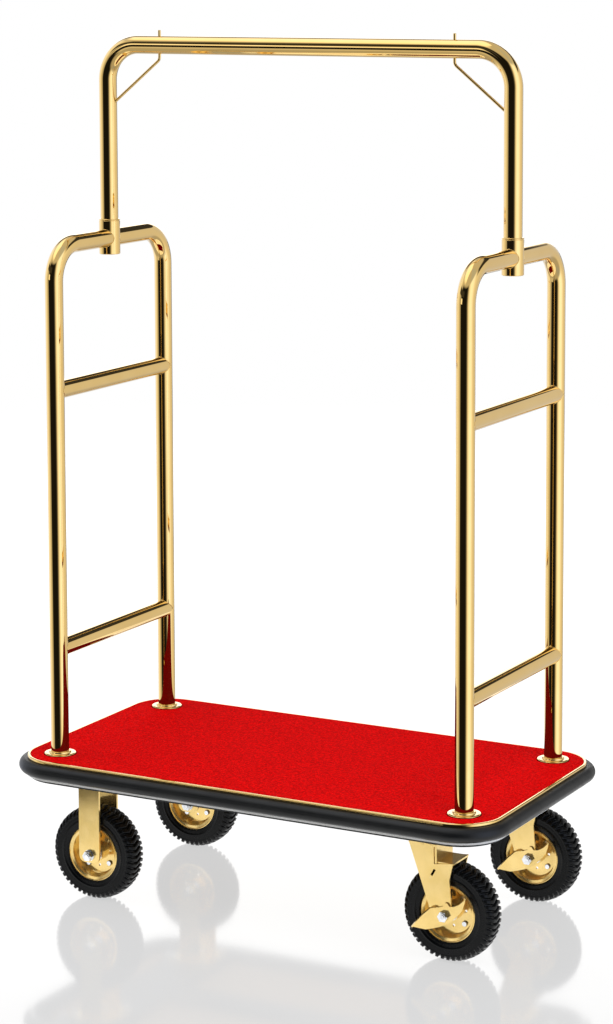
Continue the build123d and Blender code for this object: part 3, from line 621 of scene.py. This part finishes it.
def rung(side, z):
    """Straight bar with ends shaped to the posts, and its brazing beads."""
    x = side * POST_X
    verts = []
    for end in (-1, 1):
        for k in range(ROUND_STEPS):
            a = 2 * math.pi * k / ROUND_STEPS
            across = TUBE_R * math.cos(a)
            reach = POST_Y - math.sqrt(TUBE_R ** 2 - across ** 2) * RUNG_BITE
            verts.append(Vector((x + across, end * reach, z + TUBE_R * math.sin(a))))
    bar = (verts, grid_faces(2, ROUND_STEPS, False, True))
    beads = [saddle_bead((x, end * POST_Y, z), TUBE_R, TUBE_R + CLOSE_FIT, -end, RUNG_BEAD_R)
             for end in (-1, 1)]
    return merged([bar] + beads)


def collar(side):
    """Upright socket with rolled rims, and the bead round the bar through it."""
    low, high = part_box("right_collar" if side > 0 else "left_collar")
    r = (high.y - low.y) / 2
    lip = 0.9 * MM
    bore = TUBE_R + CLOSE_FIT
    middle = 2 * MM
    groove = r - 0.7 * MM
    floor = high.z - 8 * MM
    outline = [(middle, low.z), (r - lip, low.z), (r, low.z + lip), (r, high.z - 4.2 * MM),
               (groove, high.z - 3.6 * MM), (groove, high.z - 3.0 * MM),
               (r, high.z - 2.4 * MM), (r, high.z - lip), (r - lip, high.z),
               (bore, high.z), (bore, floor), (middle, floor)]
    body = turned(softened(outline, 0.5 * MM, 3), (side * POST_X, 0, 0))
    beads = [saddle_bead((side * POST_X, 0, FRAME_BAR_Z), TUBE_R, r, end, COLLAR_BEAD_R)
             for end in (-1, 1)]
    return merged([body] + beads)


for side, name in ((-1, "left"), (1, "right")):
    new_piece(name + "_bent_frame", *side_frame(side), "polished_brass", "cart",
              [name + "_side_frame"])
    for level in ("upper", "lower"):
        cad_name = f"{name}_{level}_rung"
        new_piece(cad_name + "_bar", *rung(side, centre_of(cad_name).z), "polished_brass",
                  "cart", [cad_name])
    even_shading(new_piece(name + "_rail_socket", *collar(side), "polished_brass", "cart",
                           [name + "_collar"]))

rail_line = bent_line([(-POST_X, 0, FRAME_BAR_Z + TUBE_R), (-POST_X, 0, RAIL_Z),
                       (POST_X, 0, RAIL_Z), (POST_X, 0, FRAME_BAR_Z + TUBE_R)], BEND_R)
new_piece("garment_rail_bar", *round_bar(rail_line, TUBE_R), "polished_brass", "cart",
          ["hanging_rail"])


def flange_cover(x, y):
    """Pressed cover plate: flat disc, low raised ring round the post."""
    high = FLANGE_TOP - BOARD_TOP
    bore = TUBE_R + 0.15 * MM
    outline = [(bore, 0), (FLANGE_R, 0), (FLANGE_R, 0.62 * high), (FLANGE_R - 3.5 * MM, 0.68 * high),
               (bore + 4.6 * MM, 0.70 * high), (bore + 3.8 * MM, 0.96 * high),
               (bore + 2.6 * MM, high), (bore + 0.6 * MM, high), (bore, high - 0.8 * MM)]
    return turned(softened(outline, 1.1 * MM, 4), (x, y, BOARD_TOP))


even_shading(new_piece("post_flange_covers", *merged([flange_cover(x, y) for x, y in POSTS]),
                       "polished_brass", "cart", ["post_flanges"]))


# ---------------------------------------------------------------------------
# deck edge: gold bead, bumper, pale strip
# ---------------------------------------------------------------------------

def upper_bead():
    inner = -EDGE_BACK
    outline = [(inner, trim_low.z), (0, trim_low.z), (0, trim_high.z - 2.6 * MM),
               (-0.8 * MM, trim_high.z - 0.7 * MM), (-2.6 * MM, trim_high.z),
               (inner, trim_high.z)]
    return round_the_deck(softened(outline, 1.0 * MM, 4))


def pale_strip():
    inner = -EDGE_BACK
    out = strip_high.x - DECK_X
    outline = [(inner, strip_low.z), (out, strip_low.z), (out, strip_high.z),
               (inner, strip_high.z)]
    return round_the_deck(softened(outline, 1.1 * MM, 4))


BUMPER_BACK = -5.7 * MM       # the bumper's flat back, in from the bead's face
NOSE_STEPS = 48


def bumper_section():
    """Flat-backed rubber section with a half-round nose."""
    r = (bumper_high.z - bumper_low.z) / 2
    middle = (bumper_high.z + bumper_low.z) / 2
    centre = bumper_high.x - DECK_X - r
    outline = [(BUMPER_BACK, bumper_low.z)]
    for i in range(NOSE_STEPS + 1):
        a = math.radians(-90 + 180 * i / NOSE_STEPS)
        outline.append((centre + r * math.cos(a), middle + r * math.sin(a)))
    outline.append((BUMPER_BACK, bumper_high.z))
    return outline


even_shading(new_piece("gold_edge_bead", *upper_bead(), "polished_brass", "cart",
                       ["upper_trim"]))
even_shading(new_piece("pale_edge_strip", *pale_strip(), "pale_strip", "cart", ["lower_trim"]))
new_piece("bumper_nose", *round_the_deck(bumper_section()), "bumper_rubber", "cart", ["bumper"])


# ---------------------------------------------------------------------------
# carpet
# ---------------------------------------------------------------------------

def ring_points(centre, radius, steps):
    return [Vector((centre[0] + radius * math.cos(2 * math.pi * k / steps),
                    centre[1] + radius * math.sin(2 * math.pi * k / steps)))
            for k in range(steps)]


def deck_outline(inset, steps=24):
    points = []
    for sx, sy, start in ((1, 1, 0), (-1, 1, 90), (-1, -1, 180), (1, -1, 270)):
        centre = Vector((sx * (DECK_X - DECK_CORNER), sy * (DECK_Y - DECK_CORNER)))
        for i in range(steps + 1):
            a = math.radians(start + 90 * i / steps)
            points.append(centre + Vector((math.cos(a), math.sin(a))) * (DECK_CORNER - inset))
    return points


def carpet_panel():
    """Cut panel with a hole round each flange; its cut edges are softly rolled."""
    base, top = carpet_low.z, carpet_high.z
    inset = DECK_X - carpet_high.x
    roll = 1.8 * MM
    walls = [(0.0, base), (0.0, top - roll), (0.3 * roll, top - 0.35 * roll), (roll, top)]
    bm = bmesh.new()
    rims = {"top": [], "bottom": []}
    loops = [("edge", None)] + [("hole", place) for place in POSTS]
    for kind, place in loops:
        rows = []
        for step_in, z in walls:
            if kind == "edge":
                points = deck_outline(inset + step_in)
            else:
                points = ring_points(place, CARPET_HOLE_R + step_in, ROUND_STEPS)
            rows.append([bm.verts.new((p.x, p.y, z)) for p in points])
        for low, high in zip(rows, rows[1:]):
            count = len(low)
            for i in range(count):
                j = (i + 1) % count
                bm.faces.new((low[i], low[j], high[j], high[i]))
        rims["bottom"].append(rows[0])
        rims["top"].append(rows[-1])
    for level in ("top", "bottom"):
        edges = []
        for row in rims[level]:
            for a, b in zip(row, row[1:] + row[:1]):
                edges.append(bm.edges.get((a, b)))
        bmesh.ops.triangle_fill(bm, use_beauty=True, use_dissolve=False, edges=edges)
    bmesh.ops.recalc_face_normals(bm, faces=bm.faces[:])
    mesh = bpy.data.meshes.new("carpet_panel")
    bm.to_mesh(mesh)
    bm.free()
    mesh.shade_smooth()
    return place_piece("carpet_panel", mesh, "red_carpet", "cart", ["carpet"])


carpet_piece = even_shading(carpet_panel())


# ---------------------------------------------------------------------------
# tyres
# ---------------------------------------------------------------------------

# the tyre is drawn in millimetres for this radius, and scaled to the wheel
TYRE_DRAWN_R = 100
# (radius, half width) of the tyre's skin, crown to bead, then back inside
TYRE_CROWN = [(100, 0), (99.8, 6), (99.3, 12), (98.2, 18), (96.4, 22.5), (93.6, 25.8),
              (90.4, 27.3), (87.2, 27.9)]
TYRE_WALL = [(85.6, 27.95), (84.6, 27.5), (82, 27.7), (77, 27.6), (72.6, 27.1), (72.2, 27.45),
             (71.4, 27.4), (71, 26.9), (66, 26.2), (62, 25.4), (60.4, 24.6), (59.7, 23.6),
             (59.4, 21.8), (58.2, 20.9), (53.6, 19.4), (52.3, 16), (51.5, 9)]
TYRE_INSIDE = [(56.5, 9.3), (60.5, 17), (68, 22.6), (76, 23.6), (83, 23), (87.5, 20),
               (89.6, 14), (90, 0)]
# sideways wander of a groove across the tread: (half width, shift along the tread)
GROOVE_WANDER = [(-32, 4.2), (-22, -0.6), (-9, -4.2), (9, 4.2), (22, 0.6), (32, -4.2)]
GROOVE_HALF = 1.3             # half width of a groove's floor
GROOVE_SHOULDER = 2.4         # from a groove's floor up to its lug
LUG_END_R = 86.0              # grooves fade out by here on the shoulder
LUG_FADE = 6                  # and are full depth this much further out
CROWN_PARTS = 3               # equal parts from one point of the crown to the next
LUG_COLUMNS = 20              # points along the tread in one lug
SHOULDER_HALF = 20            # half width where the grooves start to lean inwards
SHOULDER_LEAN = 0.55


def smoothly(value, low, high):
    """0 below low, 1 above high, with an eased rise between them."""
    t = np.clip((value - low) / (high - low), 0, 1)
    return t * t * (3 - 2 * t)


def between(points, parts):
    """The outline with each side cut into equal parts."""
    made = []
    for a, b in zip(points, points[1:]):
        for k in range(parts):
            t = k / parts
            made.append((a[0] + (b[0] - a[0]) * t, a[1] + (b[1] - a[1]) * t))
    made.append(points[-1])
    return made


def tyre_mesh():
    """Carcass about the wheel's centre with its wavy lugs raised from the tread."""
    crown = between(TYRE_CROWN, CROWN_PARTS)
    half = crown + TYRE_WALL
    skin = [(r, -w) for r, w in reversed(half[1:])] + half
    inside = TYRE_INSIDE + [(r, -w) for r, w in reversed(TYRE_INSIDE[:-1])]
    section = np.array(skin + inside)
    r, w = section[:, 0], section[:, 1]
    tangent = np.roll(section, -1, 0) - np.roll(section, 1, 0)
    tangent /= np.linalg.norm(tangent, axis=1)[:, None]
    inward = np.stack([-tangent[:, 1], tangent[:, 0]], 1)
    inward[inward[:, 0] > 0] *= -1
    on_skin = np.arange(len(section)) < len(skin)
    reach = np.where(on_skin, smoothly(r, LUG_END_R, LUG_END_R + LUG_FADE), 0)
    columns = LUG_COUNT * LUG_COLUMNS
    turn = 2 * math.pi * np.arange(columns) / columns
    pitch = 2 * math.pi * TYRE_DRAWN_R / LUG_COUNT
    wander = np.interp(w, *np.array(GROOVE_WANDER).T)
    along = turn[:, None] * TYRE_DRAWN_R - wander[None, :] + pitch / 2
    off = np.abs((along + pitch / 2) % pitch - pitch / 2)
    cut = 1 - smoothly(off, GROOVE_HALF, GROOVE_HALF + GROOVE_SHOULDER)
    depth = cut * reach[None, :] * LUG_DEPTH / MM
    lean = np.where(np.abs(w) > SHOULDER_HALF, SHOULDER_LEAN, 0.0)
    rr = r[None, :] + depth * inward[None, :, 0]
    ww = w[None, :] + depth * inward[None, :, 1] * lean[None, :]
    x = rr * np.sin(turn)[:, None]
    z = -rr * np.cos(turn)[:, None]
    points = np.stack([x, ww, z], 2).reshape(-1, 3) * MM * (WHEEL_R / (TYRE_DRAWN_R * MM))
    mesh = bpy.data.meshes.new("lug_tyre")
    mesh.from_pydata(points.tolist(), [], grid_faces(columns, len(section), True, True))
    mesh.shade_smooth()
    mesh.materials.append(bpy.data.materials["tyre_rubber"])
    return mesh


lug_tyre = tyre_mesh()
for wheel in WHEELS:
    low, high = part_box(wheel + "_tyre")
    at = Vector(((low.x + high.x) / 2, (low.y + high.y) / 2, WHEEL_R))
    place_piece(wheel + "_lug_tyre", lug_tyre, "tyre_rubber", wheel + "_wheel",
                [wheel + "_tyre"], at)


# ---------------------------------------------------------------------------
# floor, light and camera
# ---------------------------------------------------------------------------

FLOOR_RADIUS = 7.0
FLOOR_Z = -0.3 * MM
CARD_RADIUS = 1.15
CARD_Z = -4 * MM


def studio_piece(name, verts, faces):
    """Part of the studio, in the finish of its own name."""
    mesh = bpy.data.meshes.new(name)
    mesh.from_pydata(verts, [], faces)
    mesh.materials.append(bpy.data.materials[name])
    made = bpy.data.objects.new(name, mesh)
    bpy.context.scene.collection.objects.link(made)
    return made


def make_floor():
    """Glossy pale studio floor that fades into the surrounding light."""
    rings, sides = 24, 96
    verts = [Vector((0, 0, FLOOR_Z))]
    faces = []
    for i in range(1, rings + 1):
        for k in range(sides):
            a = 2 * math.pi * k / sides
            r = FLOOR_RADIUS * i / rings
            verts.append(Vector((r * math.cos(a), r * math.sin(a), FLOOR_Z)))
    for k in range(sides):
        faces.append((0, 1 + k, 1 + (k + 1) % sides))
    for i in range(rings - 1):
        for k in range(sides):
            a, b = 1 + i * sides + k, 1 + i * sides + (k + 1) % sides
            faces.append((a, a + sides, b + sides, b))
    tree, where, surface = start_finish(
        "studio_floor", Metallic=0.0, Specular_IOR_Level=0.5, Emission_Strength=1.0)
    speck = noise(tree, where, 3.0, 3.0)
    tone = mixed(tree, speck, (0.11, 0.11, 0.11, 1), (0.13, 0.13, 0.13, 1))
    glow = mixed(tree, speck, (0.600, 0.600, 0.60, 1), (0.610, 0.610, 0.61, 1))
    tree.links.new(tone, surface.inputs["Base Color"])
    tree.links.new(glow, surface.inputs["Emission Color"])
    tree.links.new(remap(tree, speck, 0.3, 0.7, 0.08, 0.10), surface.inputs["Roughness"])
    far = add(tree, "ShaderNodeVectorMath", {0: where}, operation="LENGTH").outputs["Value"]
    tree.links.new(remap(tree, far, 0.55 * FLOOR_RADIUS, 0.98 * FLOOR_RADIUS, 1.0, 0.0),
                   surface.inputs["Alpha"])
    floor = studio_piece("studio_floor", verts, faces)
    floor.visible_glossy = False


def make_bounce_card():
    """White card laid under the cart, seen only in the shine of the low metalwork."""
    sides = 64
    rim = [(CARD_RADIUS * math.cos(2 * math.pi * k / sides),
            CARD_RADIUS * math.sin(2 * math.pi * k / sides), CARD_Z) for k in range(sides)]
    tree, where, surface = start_finish(
        "bounce_card", Metallic=0.0, Specular_IOR_Level=0.0, Emission_Strength=1.0)
    patchy = remap(tree, noise(tree, where, 5.0, 2.0), 0.35, 0.65)
    glow = mixed(tree, patchy, (0.36, 0.36, 0.35, 1), (0.78, 0.78, 0.77, 1))
    tree.links.new(glow, surface.inputs["Emission Color"])
    card = studio_piece("bounce_card", rim, [tuple(range(sides))])
    card.visible_camera = False
    card.visible_diffuse = False
    card.visible_shadow = False


# brightness of the studio round the cart: (degrees from straight ahead towards +X, level)
ROUND_LEVELS = [(-180, 0.70), (-150, 0.80), (-120, 1.10), (-90, 1.15), (-70, 1.00), (-60, 0.70),
                (-45, 0.55), (-38, 0.10), (-34, 0.012), (27, 0.010), (36, 0.06), (44, 0.36),
                (54, 1.05), (74, 1.50), (96, 1.36), (112, 1.00), (135, 0.78), (160, 0.70),
                (180, 0.70)]
# patches over the round: (level, heights of the direction: start, full, full, end,
# part of the round as a heading, how close to it: start, full)
PATCHES = [
    (0.48, (-1.10, -1.05, -0.60, -0.40), 0, (-1.2, -1.1)),
    (0.62, (0.60, 0.72, 1.05, 1.10), 0, (-1.2, -1.1)),
    (1.50, (0.68, 0.84, 1.05, 1.10), -80, (0.20, 0.60)),
    (1.35, (0.02, 0.05, 0.20, 0.27), -30, (0.985, 0.995)),
    (0.70, (-0.62, -0.52, -0.36, -0.32), -31, (0.955, 0.985)),
    (0.04, (-0.30, -0.24, -0.02, 0.03), -168, (0.955, 0.985)),
    (0.04, (0.375, 0.41, 0.60, 0.70), 180, (0.30, 0.60)),
    (0.05, (0.28, 0.33, 0.48, 0.56), -36, (0.80, 0.90)),
    (1.95, (-0.02, 0.03, 0.32, 0.44), -152, (0.945, 0.980)),
]


def make_surround():
    """White studio: dark opening straight ahead, soft boxes on the right, dark beams above."""
    world = bpy.data.worlds.new("studio_surround")
    bpy.context.scene.world = world
    world.use_nodes = True
    tree = world.node_tree
    tree.nodes.clear()
    heading = tree.nodes.new("ShaderNodeTexCoord").outputs["Generated"]
    split = add(tree, "ShaderNodeSeparateXYZ", {"Vector": heading}).outputs
    turn = maths(tree, "ARCTAN2", split["X"], maths(tree, "MULTIPLY", split["Y"], -1.0))
    share = maths(tree, "MULTIPLY_ADD", turn, 1 / (2 * math.pi), 0.5)
    curve = add(tree, "ShaderNodeValToRGB", {"Fac": share})
    ramp = curve.color_ramp
    top = max(level for _, level in ROUND_LEVELS)
    for i, (degrees, level) in enumerate(ROUND_LEVELS):
        at = degrees / 360 + 0.5
        stop = ramp.elements[i] if i < 2 else ramp.elements.new(at)
        stop.position = at
        stop.color = (level / top,) * 3 + (1,)
    level = maths(tree, "MULTIPLY", curve.outputs["Color"], top)
    # the soft boxes are cooler than the walls
    tint = mixed(tree, remap(tree, level, 0.85, 1.40), (1.0, 0.99, 0.97, 1), (0.87, 0.97, 1.22, 1))
    for value, (low, low_full, high_full, high), degrees, (near, full) in PATCHES:
        rise = remap(tree, split["Z"], low, low_full)
        fall = remap(tree, split["Z"], high_full, high, 1.0, 0.0)
        a = math.radians(degrees)
        facing = maths(tree, "COSINE", maths(tree, "SUBTRACT", turn, a))
        mask = maths(tree, "MULTIPLY", maths(tree, "MULTIPLY", rise, fall),
                     remap(tree, facing, near, full))
        level = add(tree, "ShaderNodeMix", {0: mask, 2: level, 3: value}).outputs[0]
    lit = add(tree, "ShaderNodeBackground", {"Color": tint, "Strength": level})
    seen = add(tree, "ShaderNodeBackground", {"Color": (1, 1, 1, 1), "Strength": 1.0})
    camera_ray = tree.nodes.new("ShaderNodeLightPath").outputs["Is Camera Ray"]
    both = add(tree, "ShaderNodeMixShader", {0: camera_ray, 1: lit.outputs[0], 2: seen.outputs[0]})
    out = tree.nodes.new("ShaderNodeOutputWorld")
    tree.links.new(both.outputs[0], out.inputs["Surface"])


LAMP_AIM = Vector((0, 0, 0.7))
CAMERA_PLACE = (2.824645, -5.238434, 1.985868)
CAMERA_TURN = (28.282, 6.784, -0.188)    # yaw, downward pitch and roll, degrees


def soft_light(name, azimuth, elevation, distance, size, power):
    """Large soft lamp aimed at the middle of the cart; azimuth 0 is straight ahead."""
    a, e = math.radians(azimuth), math.radians(elevation)
    heading = Vector((math.sin(a) * math.cos(e), -math.cos(a) * math.cos(e), math.sin(e)))
    lamp = bpy.data.lights.new(name, "AREA")
    lamp.shape = "DISK"
    lamp.size = size
    lamp.energy = power
    holder = bpy.data.objects.new(name, lamp)
    bpy.context.scene.collection.objects.link(holder)
    holder.location = LAMP_AIM + heading * distance
    holder.rotation_mode = "QUATERNION"
    holder.rotation_quaternion = (-heading).to_track_quat("-Z", "Y")
    holder.visible_camera = False
    holder.visible_glossy = False


def make_camera():
    """Eye-level view from the front right, taken from far back."""
    camera = bpy.data.cameras.new("studio_camera")
    holder = bpy.data.objects.new("studio_camera", camera)
    bpy.context.scene.collection.objects.link(holder)
    bpy.context.scene.camera = holder
    camera.lens = 101.42
    camera.sensor_width = 36.0
    camera.shift_y = -0.20703
    camera.clip_end = 100.0
    yaw, pitch, roll = (math.radians(d) for d in CAMERA_TURN)
    ahead = Vector((-math.sin(yaw) * math.cos(pitch), math.cos(yaw) * math.cos(pitch),
                    -math.sin(pitch)))
    right = Vector((math.cos(yaw), math.sin(yaw), 0))
    up = right.cross(ahead)
    right, up = (right * math.cos(roll) + up * math.sin(roll),
                 up * math.cos(roll) - right * math.sin(roll))
    turned_to = Matrix((right, up, -ahead)).transposed().to_4x4()
    holder.matrix_world = Matrix.Translation(CAMERA_PLACE) @ turned_to


make_floor()
make_bounce_card()
make_surround()
soft_light("key_softbox", azimuth=60, elevation=48, distance=4.0, size=2.6, power=55)
soft_light("fill_softbox", azimuth=-75, elevation=40, distance=4.5, size=3.0, power=25)
make_camera()
bpy.context.scene.view_settings.view_transform = "Standard"
